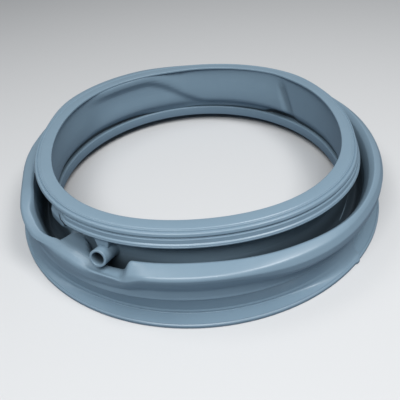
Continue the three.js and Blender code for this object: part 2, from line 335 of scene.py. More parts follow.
@dataclass(frozen=True)
class Panel:
    """A soft swelling of the neck.

    Attributes:
        swell: Where it is round the seal, and how far it stands out.
        centre: Height of its middle.
        spread: How far it reaches up and down.
    """

    swell: Swell
    centre: float
    spread: float

    def at(self, azimuth: Array, z: Number) -> Array:
        """How far it stands out at a height."""
        return self.swell.at(azimuth) * bell(z, self.centre, self.spread)


@dataclass
class Neck:
    """The upright wall between the collar and the lip, with the soft panels of its inside face.

    Attributes:
        plan: How the seal departs from round.
        radius: Radius of the inside face.
        wall: Thickness.
        squareness: How far its soft corners stand out at the top.
        base: Radius of the inside face at its foot.
        base_range: Heights over which the foot goes over into the wall.
        base_curve: How sharply it does so.
        flare: How much further out the outside stands at its foot.
        flare_range: Heights over which the flare ends.
        flare_curve: How sharply it ends.
        boss: The swelling of the outside in the left pocket.
        crease: Where the slanting ledge stands in.
        crease_slant: Degrees that the ledge's start moves on with each millimetre of height.
        slant_height: Height at which it starts where crease says.
        ledge_height: Height of the ledge.
        ledge_climb: Azimuths over which it climbs.
        climb_height: How far it climbs.
        ledge_rise: Heights, from its own, over which it comes in.
        ledge_fall: Where it starts to go out again, and where it ends before and after the climb.
        turn_start: Where the azimuths used for the climb start.
        valley: The shallow valley beside the crease.
        valley_rise: Heights over which the valley comes in.
        valley_fall: Heights over which it goes out again.
        base_swells: Where the foot stands further out, or in where it is negative.
        panels: The soft swellings of the inside face.
        heights: Heights of the inside face's points.
        rim: Height at which the collar's rim starts.
    """

    plan: Plan
    radius: float = 146.6
    wall: float = 3.4
    squareness: float = 1.6
    base: float = 151.6
    base_range: Span = (21.0, 34.0)
    base_curve: float = 1.2
    flare: float = 6.0
    flare_range: Span = (19.0, 50.0)
    flare_curve: float = 1.3
    boss: Panel = Panel(Swell(Place((-40, -34), (-28, -22)), 9.0), 51.0, 10.0)
    crease: Swell = Swell(Place((152, 155.4), (236, 256)), 4.2)
    crease_slant: float = 0.177
    slant_height: float = 38.0
    ledge_height: float = 31.0
    ledge_climb: Span = (194.0, 226.0)
    climb_height: float = 34.0
    ledge_rise: Span = (-5.0, 4.0)
    ledge_fall: tuple[float, float, float] = (6.0, 44.0, 20.0)
    turn_start: float = -60.0
    valley: Bump = Bump(151.6, 1.1, 1.3)
    valley_rise: Span = (28.0, 40.0)
    valley_fall: Span = (62.0, 71.0)
    base_swells: tuple[Swell, ...] = (
        Swell(Place((160, 168), (216, 232)), -1.4),
        Swell(Place((222, 240), (285, 310)), 1.2),
        Swell(Place((147, 151), (160, 166)), 3.0),
    )
    panels: tuple[Panel, ...] = (
        Panel(Swell(Place((200, 214), (238, 258)), 3.0), 36.0, 12.0),
        Panel(Swell(Place((250, 268), (290, 310)), 2.2), 45.0, 16.0),
    )
    heights: tuple[float, ...] = (22.4, 24, 26, 28, 30.5, 33, 36, 39, 42, 45, 48, 52, 56, 60, 64, 68, 71)
    rim: float = 73.8

    def corner(self, azimuth: Array, z: Number) -> Array:
        """How far the soft corners stand out at a height."""
        return self.squareness * self.plan.squareness(azimuth) * z / SEAL_HEIGHT

    def inside(self, azimuth: Array, z: Number) -> Array:
        """Radius of the inside face.

        Args:
            azimuth: Degrees from -Y.
            z: Height over the table.

        Returns:
            One radius for each azimuth.
        """
        climb = smooth(wrapped(azimuth, self.turn_start), *self.ledge_climb)
        above = z - self.ledge_height - self.climb_height * climb
        start, end_before, end_after = self.ledge_fall
        ledge = smooth(above, *self.ledge_rise) * (1 - smooth(above, start, mix(end_before, end_after, climb)))
        reach = self.base - self.radius + sum(swell.at(azimuth) for swell in self.base_swells)
        foot = reach * (1 - smooth(z, *self.base_range)) ** self.base_curve
        panels = sum(panel.at(azimuth, z) for panel in self.panels)
        slanted = azimuth - self.crease_slant * (z - self.slant_height)
        ledge = ledge * self.crease.at(slanted)
        valley = self.valley.at(slanted) * smooth(z, *self.valley_rise) * (1 - smooth(z, *self.valley_fall))
        return self.radius + foot + self.corner(azimuth, z) + valley - ledge - panels

    def outside(self, azimuth: Array, z: Number) -> Array:
        """Radius of the outside face.

        Args:
            azimuth: Degrees from -Y.
            z: Height over the table.

        Returns:
            One radius for each azimuth.
        """
        flare = self.flare * (1 - smooth(z, *self.flare_range)) ** self.flare_curve
        return self.radius + self.wall + flare + self.corner(azimuth, z) + self.boss.at(azimuth, z)

    def draw_inside(self, outline: Outline) -> None:
        """Adds the inside face, from above the lip up to the collar's rim.

        Args:
            outline: The section to add to.
        """
        for z in self.heights:
            outline.add(Corner(self.inside(outline.azimuth, z), z, 2.0, 1))
        outline.add(Corner(self.inside(outline.azimuth, self.rim - 0.2), self.rim, 0.3, 2))


@dataclass(frozen=True)
class FoldSizes:
    """Sizes of the fold at each azimuth.

    Attributes:
        notch: How much of the notch there is.
        slope: How much of the outside is a slope down from the platform.
        soft: How softly the crown's inner edge is rounded.
        height: Height of the crown.
        rim_notch: How much of the notch there is at the crown's outer edge.
        rim_height: Height of the crown's outer edge.
        inner: Radius of the crown's inner edge.
        outer: Radius of the crown's outer face.
        ridge: Radius of the ridge over the foot wall.
        floor_outer: Radius of the outer edge of the recess's floor.
    """

    notch: Array
    slope: Array
    soft: Array
    height: Array
    rim_notch: Array
    rim_height: Array
    inner: Array
    outer: Array
    ridge: Array
    floor_outer: Array


@dataclass
class Fold:
    """The boxy roll of the bellows, the recess behind it and the hollow inside it.

    Attributes:
        plan: How the seal departs from round.
        radius: Radius of the outer face.
        inner: Radius of the crown's inner edge.
        inner_squareness: How far that edge's soft corners stand out.
        inner_turn: Degrees that those corners are turned on.
        top: Height of the crown.
        floor: Height of the recess's floor.
        wall: Thickness.
        squareness: How far the outer face's soft corners stand out.
        lean: How far the fold leans to one side.
        ridge_radius: Radius of the ridge over the foot wall.
        ridge_height: Its height.
        ridge_squareness: How far its soft corners stand out.
        ridge_lean: How far it leans to the fold's side.
        full_left: Where the outer face stands further out.
        left_bumps: The flat and the corner of the outer face at the left.
        wide_top: Where the crown's inner edge lies further in.
        soft: Where that edge is softly rounded.
        high_side: Where the crown is higher.
        low: Where the platform is.
        low_height: Height of the platform.
        set_back: Where the fold lies further in.
        slope: Where the outside slopes down from the platform.
        shoulder: Radius at which the slope starts.
        slope_reach: How much further out it ends.
        rim_end: Where the notch and the platform end at the crown's outer edge.
        front: Where the crown's outer edge stands out.
        dome: Where the crown is domed.
        crown_end: Where the crown dips.
        notch: Where the scooped notch is.
        notch_height: Height of the notch's floor.
        bridge: Where the bridge closes the recess.
        late_above: How many degrees later the bridge ends at each corner of the recess.
        late_below: The same under it.
        hollow_end: Radius at which the hollow meets the lip.
        bridged_end: The same under the bridge.
    """

    plan: Plan
    radius: float = 181.4
    inner: float = 168.2
    inner_squareness: float = 3.0
    inner_turn: float = -5.5
    top: float = 56.4
    floor: float = 20.4
    wall: float = 3.2
    squareness: float = 1.2
    lean: float = 2.2
    ridge_radius: float = 175.9
    ridge_height: float = 22.0
    ridge_squareness: float = 1.1
    ridge_lean: float = -1.2
    full_left: Swell = Swell(Place((-150, -120), (-98, -78)), 2.6)
    left_bumps: tuple[Bump, ...] = (Bump(-57.0, 12.0, -2.6), Bump(-38.5, 8.0, 3.6))
    wide_top: Swell = Swell(Place((-100, -75), (-48, -40)), 2.6)
    soft: tuple[Place, ...] = (Place((46, 72), (150, 190)), Place((-45, -39), (-30, -25)))
    high_side: Swell = Swell(Place((-150, -120), (-50, -42)), 1.8)
    low: Place = Place((-45, -31), (-2.5, 2.5))
    low_height: float = 43.6
    set_back: Swell = Swell(Place((-34, -24), (-2.5, 2.5)), 2.4)
    slope: Place = Place((-34, -20), (-17, -5))
    shoulder: float = 173.6
    slope_reach: float = 4.4
    rim_end: Span = (-5.0, 7.5)
    front: Swell = Swell(Place((-4, 8), (52, 78)), 2.3)
    dome: Place = Place((28, 50), (90, 125))
    crown_end: Swell = Swell(Place((-20, -10), (2, 26)), 1.6)
    notch: Place = Place((-18, -9), (-2.5, 2.5))
    notch_height: float = 40.6
    bridge: Place = Place((-28, -24), (-22, -16.5))
    late_above: tuple[float, ...] = (0, 0, 0, 0, 0.8, 2.2, 4.2, 6.2, 8, 10, 10)
    late_below: tuple[float, ...] = (8, 8, 4, 1, 0, 0)
    hollow_end: float = 153.0
    bridged_end: float = 157.5

    def sizes(self, azimuth: Array) -> FoldSizes:
        """Works out the fold's sizes.

        Args:
            azimuth: Degrees from -Y.

        Returns:
            The sizes at each azimuth.
        """
        low, notch = self.low.share(azimuth), self.notch.share(azimuth)
        square, lean = self.plan.squareness(azimuth), self.plan.lean(azimuth)
        full = self.top + self.high_side.at(azimuth) - self.crown_end.at(azimuth)
        inner_square = self.plan.squareness(azimuth, self.inner_turn)
        left = self.full_left.at(azimuth) + sum(bump.at(azimuth) for bump in self.left_bumps)
        rim_notch = Place(self.notch.rise, self.rim_end).share(azimuth)
        rim_low = mix(full, self.low_height, Place(self.low.rise, self.rim_end).share(azimuth))
        side = self.lean * lean - self.set_back.at(azimuth)
        inner = self.inner + self.inner_squareness * inner_square + side - self.wide_top.at(azimuth)
        ridge = self.ridge_radius + self.ridge_squareness * square + self.ridge_lean * lean
        return FoldSizes(
            notch=notch,
            slope=self.slope.share(azimuth),
            soft=np.maximum.reduce([place.share(azimuth) for place in self.soft]),
            height=mix(mix(full, self.low_height, low), self.notch_height, notch),
            rim_notch=rim_notch,
            rim_height=mix(rim_low, self.notch_height, rim_notch),
            inner=inner,
            outer=self.radius + self.squareness * square + side + left,
            ridge=ridge,
            floor_outer=np.minimum(inner - 2.6, ridge - 2 * self.wall - 3),
        )

    def bridge_over(
        self, azimuth: Array, opened: list[Corner], bridged: list[Corner], late: Sequence[float]
    ) -> list[Corner]:
        """Closes the recess where the bridge is.

        Args:
            azimuth: Degrees from -Y.
            opened: Corners where the recess is open.
            bridged: The same corners on the bridge.
            late: How many degrees later the bridge ends at each corner.

        Returns:
            The corners at every azimuth.
        """
        corners = []
        for plain, raised, delay in zip(opened, bridged, late):
            low, high = self.bridge.fall
            place = Place(self.bridge.rise, (low + delay, high + delay))
            corners.append(plain.towards(raised, place.share(azimuth)))
        return corners

    def draw_recess(self, outline: Outline, neck: Neck) -> None:
        """Adds the neck's outside, the recess and the way up behind the fold.

        Args:
            outline: The section to add to.
            neck: The wall on the inner side of the recess.
        """
        azimuth = outline.azimuth
        fold = self.sizes(azimuth)
        deep = neck.outside(azimuth, 25)
        far = fold.floor_outer
        start = neck.outside(azimuth, 46)
        top, soft = fold.height, fold.soft
        walls = ((61.8, 1.2), (55, 2), (48, 3), (41, 3), (33, 3))
        bridged_walls = ((61.8, 1.2), (57, 2), (53, 2), (49.5, 2))
        opened = [
            *(Corner(neck.outside(azimuth, z), z, fillet) for z, fillet in walls),
            Corner(deep, 25.5, 3),
            Corner(mix(deep, far, 0.35), self.floor, 3),
            Corner(mix(deep, far, 0.7), self.floor, 3),
            Corner(far, 25.5, 3),
            Corner(fold.inner - mix(0.9, 2.0, soft), top - mix(9, 15, soft), 3),
            Corner(fold.inner + mix(0.2, 1.2, soft), top - mix(2.2, 5.5, soft), mix(1.5, 5, soft), 3),
        ]
        bridged = [
            *(Corner(neck.outside(azimuth, z), z, fillet) for z, fillet in bridged_walls),
            Corner(start + 0.3, top + 2.4, 1.5),
            Corner(start + 1.4, top + 0.9, 1.5),
            Corner(start + 3, top + 0.4, 2),
            Corner(mix(start, fold.inner, 0.5), top + 0.3, 2),
            Corner(mix(start, fold.inner, 0.75), top + 0.2, 2),
            Corner(fold.inner, top + 0.1, 3),
            Corner(fold.inner + 1.4, top, 3),
        ]
        outline.add(*self.bridge_over(azimuth, opened, bridged, self.late_above))

    def draw_crown(self, outline: Outline) -> None:
        """Adds the fold's top and its outside down to the ridge.

        Args:
            outline: The section to add to.
        """
        fold = self.sizes(outline.azimuth)
        top, low, ridge = fold.height, self.ridge_height, fold.ridge
        notch, soft = fold.notch, fold.soft
        rim, dish = fold.rim_height, fold.rim_notch
        dome = self.dome.share(outline.azimuth)
        corner = fold.outer - 0.7 + self.front.at(outline.azimuth) + 0.3 * dome
        shoulder = mix(top, rim, 0.5) - mix(3.3, 2.4, notch)
        boxy = [
            Corner(fold.inner + mix(2.8, 5.6, soft), top - mix(0.2, 2.2, notch), mix(2.2, 1.0, soft)),
            Corner(corner - mix(mix(1.9, 3.2, dome), 4.3, dish), shoulder, 4, 4),
            Corner(corner, rim - mix(mix(5.8, 8.6, dome), 0.0, dish), mix(3.0, 0.9, dish), 4),
            Corner(corner - mix(0.6, 0.1, dome), mix(low, rim, mix(mix(0.72, 0.54, dome), 0.66, dish)), 5, 4),
            Corner(mix(ridge, corner, mix(0.34, 0.52, dome)), mix(low, rim, mix(0.46, 0.36, dome)), 8, 5),
            Corner(ridge - mix(0.9, 0.4, dome), mix(low, rim, mix(0.28, 0.22, dome)), 6, 4),
            Corner(ridge - 0.1, low + 2.6, 2.5, 3),
            Corner(ridge + 0.5, low + 0.5, 0.5, 3),
        ]
        edge = self.shoulder
        face = edge + self.slope_reach
        sloped = [
            Corner(edge - 6.0, top - 0.3, 3),
            Corner(edge - 1.6, top - 1.2, 5),
            Corner(edge + 2.2, top - 3.2, 5),
            Corner(edge + 4.0, mix(low, top, 0.72), 6),
            Corner(face, mix(low, top, 0.44), 6),
            Corner(mix(ridge, face, 0.6), mix(low, top, 0.24), 5),
            Corner(mix(ridge, face, 0.3), mix(low, top, 0.1), 3),
            Corner(ridge + 0.3, low + 0.5, 0.6),
        ]
        outline.add(*(a.towards(b, fold.slope) for a, b in zip(boxy, sloped)))

    def draw_hollow(self, outline: Outline, neck: Neck) -> None:
        """Adds the hollow inside the fold, from the foot wall round to under the lip.

        Args:
            outline: The section to add to.
            neck: The wall on the inner side of the recess.
        """
        azimuth = outline.azimuth
        fold = self.sizes(azimuth)
        top, low, wall = fold.height, self.ridge_height, self.wall
        slope, soft = fold.slope, fold.soft
        deep = neck.outside(azimuth, 25)
        far = fold.floor_outer
        outer = mix(fold.outer, self.shoulder + self.slope_reach, slope)
        outline.add(
            Corner(fold.ridge - wall - 0.2, low, 1, 1),
            Corner(mix(fold.ridge, outer, 0.05) - wall - 0.2, mix(low, top, 0.25), 2, 1),
            Corner(mix(fold.ridge, outer, 0.4) - wall, mix(low, top, 0.46), 2, 1),
            Corner(outer - wall - mix(1.0, 2.4, slope), mix(low, top, 0.62), 2, 1),
            Corner(outer - wall - mix(2.6, 4.6, slope), top - wall - mix(3.2, 3.6, slope), 2, 1),
        )
        opened = [
            Corner(fold.inner + mix(4.2, 4.8, soft), top - wall - mix(0.4, 1.4, soft), 1, 1),
            Corner(fold.inner + mix(2.2, 1.6, soft), top - mix(8, 14, soft), 1, 1),
            Corner(far + wall, 25, 2, 1),
            Corner(far - 0.4, self.floor - 2, 2, 1),
            Corner(mix(deep, far, 0.4), self.floor - wall - 0.2, 2, 1),
            Corner(self.hollow_end, self.floor - wall - 0.2, 1, 1),
        ]
        bridged = [
            Corner(fold.inner + 4, top - wall - 0.4, 1, 1),
            Corner(fold.inner + 1, top - wall - 0.3, 1, 1),
            Corner(mix(neck.outside(azimuth, 46), fold.inner, 0.6), top - wall - 0.4, 1, 1),
            Corner(neck.outside(azimuth, 36) + 2.5, top - wall - 1, 1, 1),
            Corner(neck.outside(azimuth, 30), 30, 1, 1),
            Corner(self.bridged_end, self.floor - wall + 1.5, 1, 1),
        ]
        outline.add(*self.bridge_over(azimuth, opened, bridged, self.late_below))


@dataclass
class Foot:
    """The foot wall under the ridge and the flange that lies on the table.

    Attributes:
        plan: How the seal departs from round.
        radius: Radius of the foot wall where it meets the flange.
        squareness: How far its soft corners stand out.
        flange_radius: Radius of the flange.
        thickness: Thickness of the flange.
        bead: Height of the bead on its edge.
        wall: Thickness of the foot wall.
        ramps: Where the foot wall runs out into the flange as a ramp.
        tab: Where a small tab stands out from the flange.
    """

    plan: Plan
    radius: float = 172.2
    squareness: float = 0.7
    flange_radius: float = 185.5
    thickness: float = 3.3
    bead: float = 0.75
    wall: float = 3.2
    ramps: tuple[Place, ...] = (Place((38, 66), (70.6, 72.0)), Place((-70, -52), (-42, -4)))
    tab: Swell = Swell(Place((67.6, 68.4), (69.2, 70.0)), 1.1)

    def draw(self, outline: Outline, fold: Fold) -> None:
        """Adds the foot wall, the flange and its beaded edge.

        Args:
            outline: The section to add to.
            fold: The fold over it, whose ridge the foot wall starts at.
        """
        azimuth = outline.azimuth
        ridge = fold.sizes(azimuth).ridge
        ramp = np.maximum.reduce([place.share(azimuth) for place in self.ramps])
        foot = self.radius + self.squareness * self.plan.squareness(azimuth)
        edge = self.flange_radius + self.tab.at(azimuth)
        thick = self.thickness
        outline.add(
            Corner(ridge - mix(0.7, 0.1, ramp), fold.ridge_height - 1.2, mix(1.0, 2.5, ramp), 2, 2),
            Corner(mix(foot, ridge + 2.0, ramp), mix(thick + 3.2, 13.0, ramp), mix(1.2, 4, ramp), 2),
            Corner(mix(foot + 0.8, ridge + 2.9, ramp), mix(thick + 1.8, 10.2, ramp), mix(0.6, 3, ramp), 3),
            Corner(mix(foot + 0.4, ridge + 3.7, ramp), mix(thick + 0.4, 8.0, ramp), mix(0.2, 2, ramp), 2),
            Corner(mix(foot + 0.8, ridge + 4.6, ramp), mix(thick - 0.4, 6.2, ramp), mix(0.2, 2, ramp), 2),
            Corner(mix(foot + 2.4, ridge + 5.6, ramp), mix(thick, 4.6, ramp), mix(0.6, 2, ramp), 1),
            Corner(edge - 2.3, thick, 0.8, 2),
            Corner(edge - 1.3, thick + self.bead, 0.5, 3),
            Corner(edge, thick - 0.3, 0.9, 3),
            Corner(edge, 0.6, 0.4, 1),
            Corner(edge - 0.6, 0, 0.3, 1),
            Corner(foot - self.wall + 0.4, 0, 0.5, 1),
            Corner(foot - self.wall, 6, 1, 1),
        )


@dataclass
class Lip:
    """The thin lip that stands in over the table.

    Attributes:
        radius: Radius of its inner face.
        top: Height of its top.
        bottom: Height of its lower edge.
        thickness: Thickness at that edge.
    """

    radius: float = 147.0
    top: float = 20.7
    bottom: float = 10.2
    thickness: float = 2.6

    def draw(self, outline: Outline, neck: Neck) -> None:
        """Adds the lip, from its underside round to the crease behind it.

        Args:
            outline: The section to add to.
            neck: The wall that stands over the lip.
        """
        crease = neck.inside(outline.azimuth, neck.heights[0])
        outline.add(
            Corner(self.radius + 3.2, self.top - 4, 0.8, 1),
            Corner(self.radius + self.thickness, self.bottom, 0.5, 1),
            Corner(self.radius, self.bottom, 0.7, 2),
            Corner(self.radius, self.top, 0.8, 3),
            Corner(self.radius + 2.9, self.top + 0.3, 0.7, 3),
            Corner(self.radius + 3.4, self.top - 0.9, 0.4, 2),
            Corner(crease + 1.4, self.top - 0.7, 0.5, 2),
        )


def seal_steps() -> Array:
    """Azimuths of the sections, closer together where the shape changes most.

    Returns:
        Rising azimuths in degrees, once round.
    """
    stretches = ((-75, 12, 142), (12, 66, 64), (66, 75, 22), (75, 148, 46), (148, 164, 26), (164, 285, 78))
    return np.concatenate([np.linspace(*stretch, endpoint=False) for stretch in stretches])


def mesh_object(name: str, points: Array, faces: Sequence[Sequence[int]]) -> bpy.types.Object:
    """Makes a smooth-shaded object.

    Args:
        name: Name of the piece.
        points: Corner points in millimetres.
        faces: Rings of point numbers.

    Returns:
        The object, linked to the scene.
    """
    mesh = bpy.data.meshes.new(name)
    mesh.from_pydata((points * MM).tolist(), [], faces)
    mesh.validate()
    mesh.shade_smooth()
    made = bpy.data.objects.new(name, mesh)
    bpy.context.scene.collection.objects.link(made)
    return made


def loft_faces(rings: int, count: int, closed: bool) -> list[tuple[int, int, int, int]]:
    """Faces between neighbouring rings of points.

    Args:
        rings: How many rings there are.
        count: Points on each ring.
        closed: Whether the last ring joins the first.

    Returns:
        Four point numbers for each face.
    """
    faces = []
    for i in range(rings if closed else rings - 1):
        here, there = i * count, ((i + 1) % rings) * count
        for j in range(count):
            after = (j + 1) % count
            faces.append((here + j, here + after, there + after, there + j))
    return faces


@dataclass
class SealBody:
    """The whole seal but its spigot and gusset.

    Attributes:
        plan: How the seal departs from round.
        collar: The ring on top.
        neck: The upright wall under it.
        fold: The roll of the bellows.
        foot: The foot wall and the flange.
        lip: The thin lip near the table.
    """

    plan: Plan = field(default_factory=Plan)
    collar: Collar = field(init=False)
    neck: Neck = field(init=False)
    fold: Fold = field(init=False)
    foot: Foot = field(init=False)
    lip: Lip = field(default_factory=Lip)

    def __post_init__(self) -> None:
        """Makes the parts of the section."""
        self.collar = Collar(self.plan)
        self.neck = Neck(self.plan)
        self.fold = Fold(self.plan)
        self.foot = Foot(self.plan)

    def build(self) -> bpy.types.Object:
        """Sweeps the section round the axis.

        Returns:
            The body of the seal.
        """
        azimuth = seal_steps()
        outline = Outline(azimuth)
        self.collar.draw(outline)
        self.fold.draw_recess(outline, self.neck)
        self.fold.draw_crown(outline)
        self.foot.draw(outline, self.fold)
        self.fold.draw_hollow(outline, self.neck)
        self.lip.draw(outline, self.neck)
        self.neck.draw_inside(outline)
        path = outline.path()
        angle = np.radians(azimuth)[:, None]
        radius, height = path[..., 0], path[..., 1]
        points = np.stack([radius * np.sin(angle), -radius * np.cos(angle), height], -1)
        faces = loft_faces(len(azimuth), path.shape[1], closed=True)
        LOG.info("section of %d points at %d azimuths", path.shape[1], len(azimuth))
        return mesh_object("seal_body", points.reshape(-1, 3), faces)


@dataclass
class Spigot:
    """The round hose spigot on the neck.

    Attributes:
        neck: The wall that it stands on.
        root: A point of its axis near the wall.
        radius: Radius of its outside.
        bore: Radius of its bore.
        length: Distance from the root to its mouth.
        tilt: Degrees that it rises outwards.
        fillet: Radius of the rounding at the wall.
        mouth: Radius of the rounding of its outer edge.
        bore_mouth: Radius of the rounding of its bore's edge.
        depth: How far inside the wall its bore ends.
        cut: Where the way through the wall starts and ends, from the root.
        sides: How many sides it has.
    """

    neck: Neck
    root: tuple[float, float, float] = (-21.4, -150.6, 44.9)
    radius: float = 7.65
    bore: float = 5.5
    length: float = 21.6
    tilt: float = 18.0
    fillet: float = 2.2
    mouth: float = 0.7
    bore_mouth: float = 0.45
    depth: float = 2.2
    cut: Span = (-12.0, 8.0)
    sides: int = 96

    def axis(self) -> Array:
        """Direction out of the seal along the spigot."""
        tilt = math.radians(self.tilt)
        return np.array([0.0, -math.cos(tilt), math.sin(tilt)])

    def ring(self, radius: Number, along: Number) -> Array:
        """Points of a circle round the axis.

        Args:
            radius: Radius of each point.
            along: Distance of each point from the root.

        Returns:
            One point for each side.
        """
        turn = np.linspace(0, 2 * np.pi, self.sides, endpoint=False)
        axis = self.axis()
        across = np.array([1.0, 0.0, 0.0])
        upright = np.cross(axis, across)
        out = np.cos(turn)[:, None] * across + np.sin(turn)[:, None] * upright
        along = np.broadcast_to(along, turn.shape)[:, None]
        return np.array(self.root) + np.broadcast_to(radius, turn.shape)[:, None] * out + along * axis

    def meets_neck(self, radius: float, inset: float, rounds: int = 30, stride: float = 0.8) -> Array:
        """Where lines along the spigot meet the neck's outside.

        Args:
            radius: Distance of the lines from the axis.
            inset: How far inside the wall to stop.
            rounds: How often to step nearer.
            stride: Share of the gap that each step closes.

        Returns:
            Distance from the root along each line.
        """
        along = np.zeros(self.sides)
        for _ in range(rounds):
            x, y, z = self.ring(radius, along).T
            wall = self.neck.outside(np.degrees(np.arctan2(x, -y)), z)
            along = along + stride * (wall - inset - np.hypot(x, y))
        return along

    def build(self) -> bpy.types.Object:
        """Makes the tube with its filleted root and rounded mouth.

        Returns:
            The spigot.
        """
        length, radius, bore = self.length, self.radius, self.bore
        wall = self.meets_neck(radius, 0.0)
        straight = wall + self.fillet * 1.2
        spread = self.meets_neck(radius + self.fillet, 0.25)
        start = self.ring(radius + self.fillet, spread)
        bend = self.ring(radius, wall)
        end = self.ring(radius, straight)
        rings = [self.ring(radius + self.fillet, spread - 0.6)]
        rings += [(1 - s) ** 2 * start + 2 * s * (1 - s) * bend + s * s * end for s in np.linspace(0, 1, 7)]
        rings += [self.ring(radius, mix(straight, length - 0.8, s)) for s in (0.3, 0.65, 1.0)]
        for turn in np.linspace(0, np.pi / 2, 5)[1:]:
            inwards, back = (self.mouth * (1 - share) for share in (math.cos(turn), math.sin(turn)))
            rings.append(self.ring(radius - inwards, length - back))
        for turn in np.linspace(0, np.pi / 2, 4):
            outwards, back = (self.bore_mouth * (1 - share) for share in (math.sin(turn), math.cos(turn)))
            rings.append(self.ring(bore + outwards, length - back))
        inner_end = self.meets_neck(bore, self.depth)
        rings += [self.ring(bore, mix(length - 0.5, inner_end, s)) for s in (0.35, 0.7, 1.0)]
        rings.append(self.ring(bore + 0.8, inner_end - 0.05))
        points = np.concatenate(rings)
        return mesh_object("seal_spigot", points, loft_faces(len(rings), self.sides, closed=True))

    def cut_bore(self, body: bpy.types.Object) -> None:
        """Cuts the bore's way in through the neck.

        Args:
            body: The seal's body, whose mesh is changed.
        """
        sides = self.sides
        rings = [self.ring(self.bore, along) for along in self.cut]
        tips = [np.array(self.root)[None] + self.axis() * along for along in self.cut]
        low, high = 2 * sides, 2 * sides + 1
        faces = loft_faces(2, sides, closed=False)
        faces += [(low, (j + 1) % sides, j) for j in range(sides)]
        faces += [(high, j + sides, (j + 1) % sides + sides) for j in range(sides)]
        cutter = mesh_object("bore_cutter", np.concatenate(rings + tips), faces)
        step = body.modifiers.new("bore", "BOOLEAN")
        step.operation = "DIFFERENCE"
        step.solver = "EXACT"
        step.object = cutter
        graph = bpy.context.evaluated_depsgraph_get()
        cut = bpy.data.meshes.new_from_object(body.evaluated_get(graph))
        body.modifiers.clear()
        body.data = cut
        bpy.data.objects.remove(cutter)


@dataclass
class Gusset:
    """The small upright web between the collar, the neck and the spigot.

    Attributes:
        top: Its two faces at its top.
        foot: Its two faces at its foot.
        outline: Its corners seen from the side, as distance to the front and height.
        softness: How far its edges are softened.
        steps: Steps of the softened edges.
    """

    top: Span = (-30.2, -15.5)
    foot: Span = (-24.6, -17.5)
    outline: tuple[Span, ...] = ((149, 49), (161.2, 52.2), (159.0, 64.4), (149, 64.4))
    softness: float = 0.9
    steps: int = 4

    def build(self) -> bpy.types.Object:
        """Makes the web with softened edges.

        Returns:
            The gusset.
        """
        count = len(self.outline)
        low, high = self.outline[0][1], self.outline[-1][1]
        points = np.array(
            [
                (mix(foot, top, (up - low) / (high - low)), -out, up)
                for foot, top in zip(self.foot, self.top)
                for out, up in self.outline
            ],
            float,
        )
        faces = [tuple(range(count))[::-1], tuple(range(count, 2 * count))]
        faces += loft_faces(2, count, closed=False)
        made = mesh_object("seal_gusset", points, faces)
        soften = made.modifiers.new("soft_edges", "BEVEL")
        soften.width = self.softness * MM
        soften.segments = self.steps
        soften.limit_method = "ANGLE"
        return made


class Maths(Enum):
    """Operations of a Math node."""

    ADD = "ADD"
    SUBTRACT = "SUBTRACT"
    MULTIPLY = "MULTIPLY"
    DIVIDE = "DIVIDE"
    POWER = "POWER"
    ABSOLUTE = "ABSOLUTE"
    ARCTAN2 = "ARCTAN2"


class VectorMaths(Enum):
    """Operations of a Vector Math node."""

    SUBTRACT = "SUBTRACT"
    DOT_PRODUCT = "DOT_PRODUCT"
    LENGTH = "LENGTH"


class Wire:
    """A value leaving a node, used in ordinary arithmetic."""

    def __init__(self, tree: bpy.types.NodeTree, socket: bpy.types.NodeSocket) -> None:
        """Keeps the tree and the socket."""
        self.tree = tree
        self.socket = socket

    def reckon(self, operation: Maths, *values: "Wire | float") -> "Wire":
        """Adds a Math node.

        Args:
            operation: The node's operation.
            values: Its inputs in order.

        Returns:
            The node's result.
        """
        node = self.tree.nodes.new("ShaderNodeMath")
        node.operation = operation.value
        for slot, value in zip(node.inputs, values):
            if isinstance(value, Wire):
                self.tree.links.new(value.socket, slot)
            else:
                slot.default_value = value
        return Wire(self.tree, node.outputs[0])

    def __add__(self, other: "Wire | float") -> "Wire":
        """This plus other."""
        return self.reckon(Maths.ADD, self, other)

    def __radd__(self, other: float) -> "Wire":
        """Other plus this."""
        return self.reckon(Maths.ADD, other, self)

    def __sub__(self, other: "Wire | float") -> "Wire":
        """This minus other."""
        return self.reckon(Maths.SUBTRACT, self, other)

    def __rsub__(self, other: float) -> "Wire":
        """Other minus this."""
        return self.reckon(Maths.SUBTRACT, other, self)

    def __mul__(self, other: "Wire | float") -> "Wire":
        """This times other."""
        return self.reckon(Maths.MULTIPLY, self, other)

    def __rmul__(self, other: float) -> "Wire":
        """Other times this."""
        return self.reckon(Maths.MULTIPLY, other, self)

    def __truediv__(self, other: "Wire | float") -> "Wire":
        """This divided by other."""
        return self.reckon(Maths.DIVIDE, self, other)

    def magnitude(self) -> "Wire":
        """This without its sign."""
        return self.reckon(Maths.ABSOLUTE, self)

    def power(self, exponent: float) -> "Wire":
        """This raised to a power."""
        return self.reckon(Maths.POWER, self, exponent)

    def between(self, low: float, high: float) -> "Wire":
        """0 under low, 1 over high, and smooth in between.

        Args:
            low: Where the rise starts.
            high: Where it ends.

        Returns:
            The rise.
        """
        node = self.tree.nodes.new("ShaderNodeMapRange")
        node.interpolation_type = "SMOOTHSTEP"
        node.inputs["From Min"].default_value = low
        node.inputs["From Max"].default_value = high
        self.tree.links.new(self.socket, node.inputs["Value"])
        return Wire(self.tree, node.outputs[0])


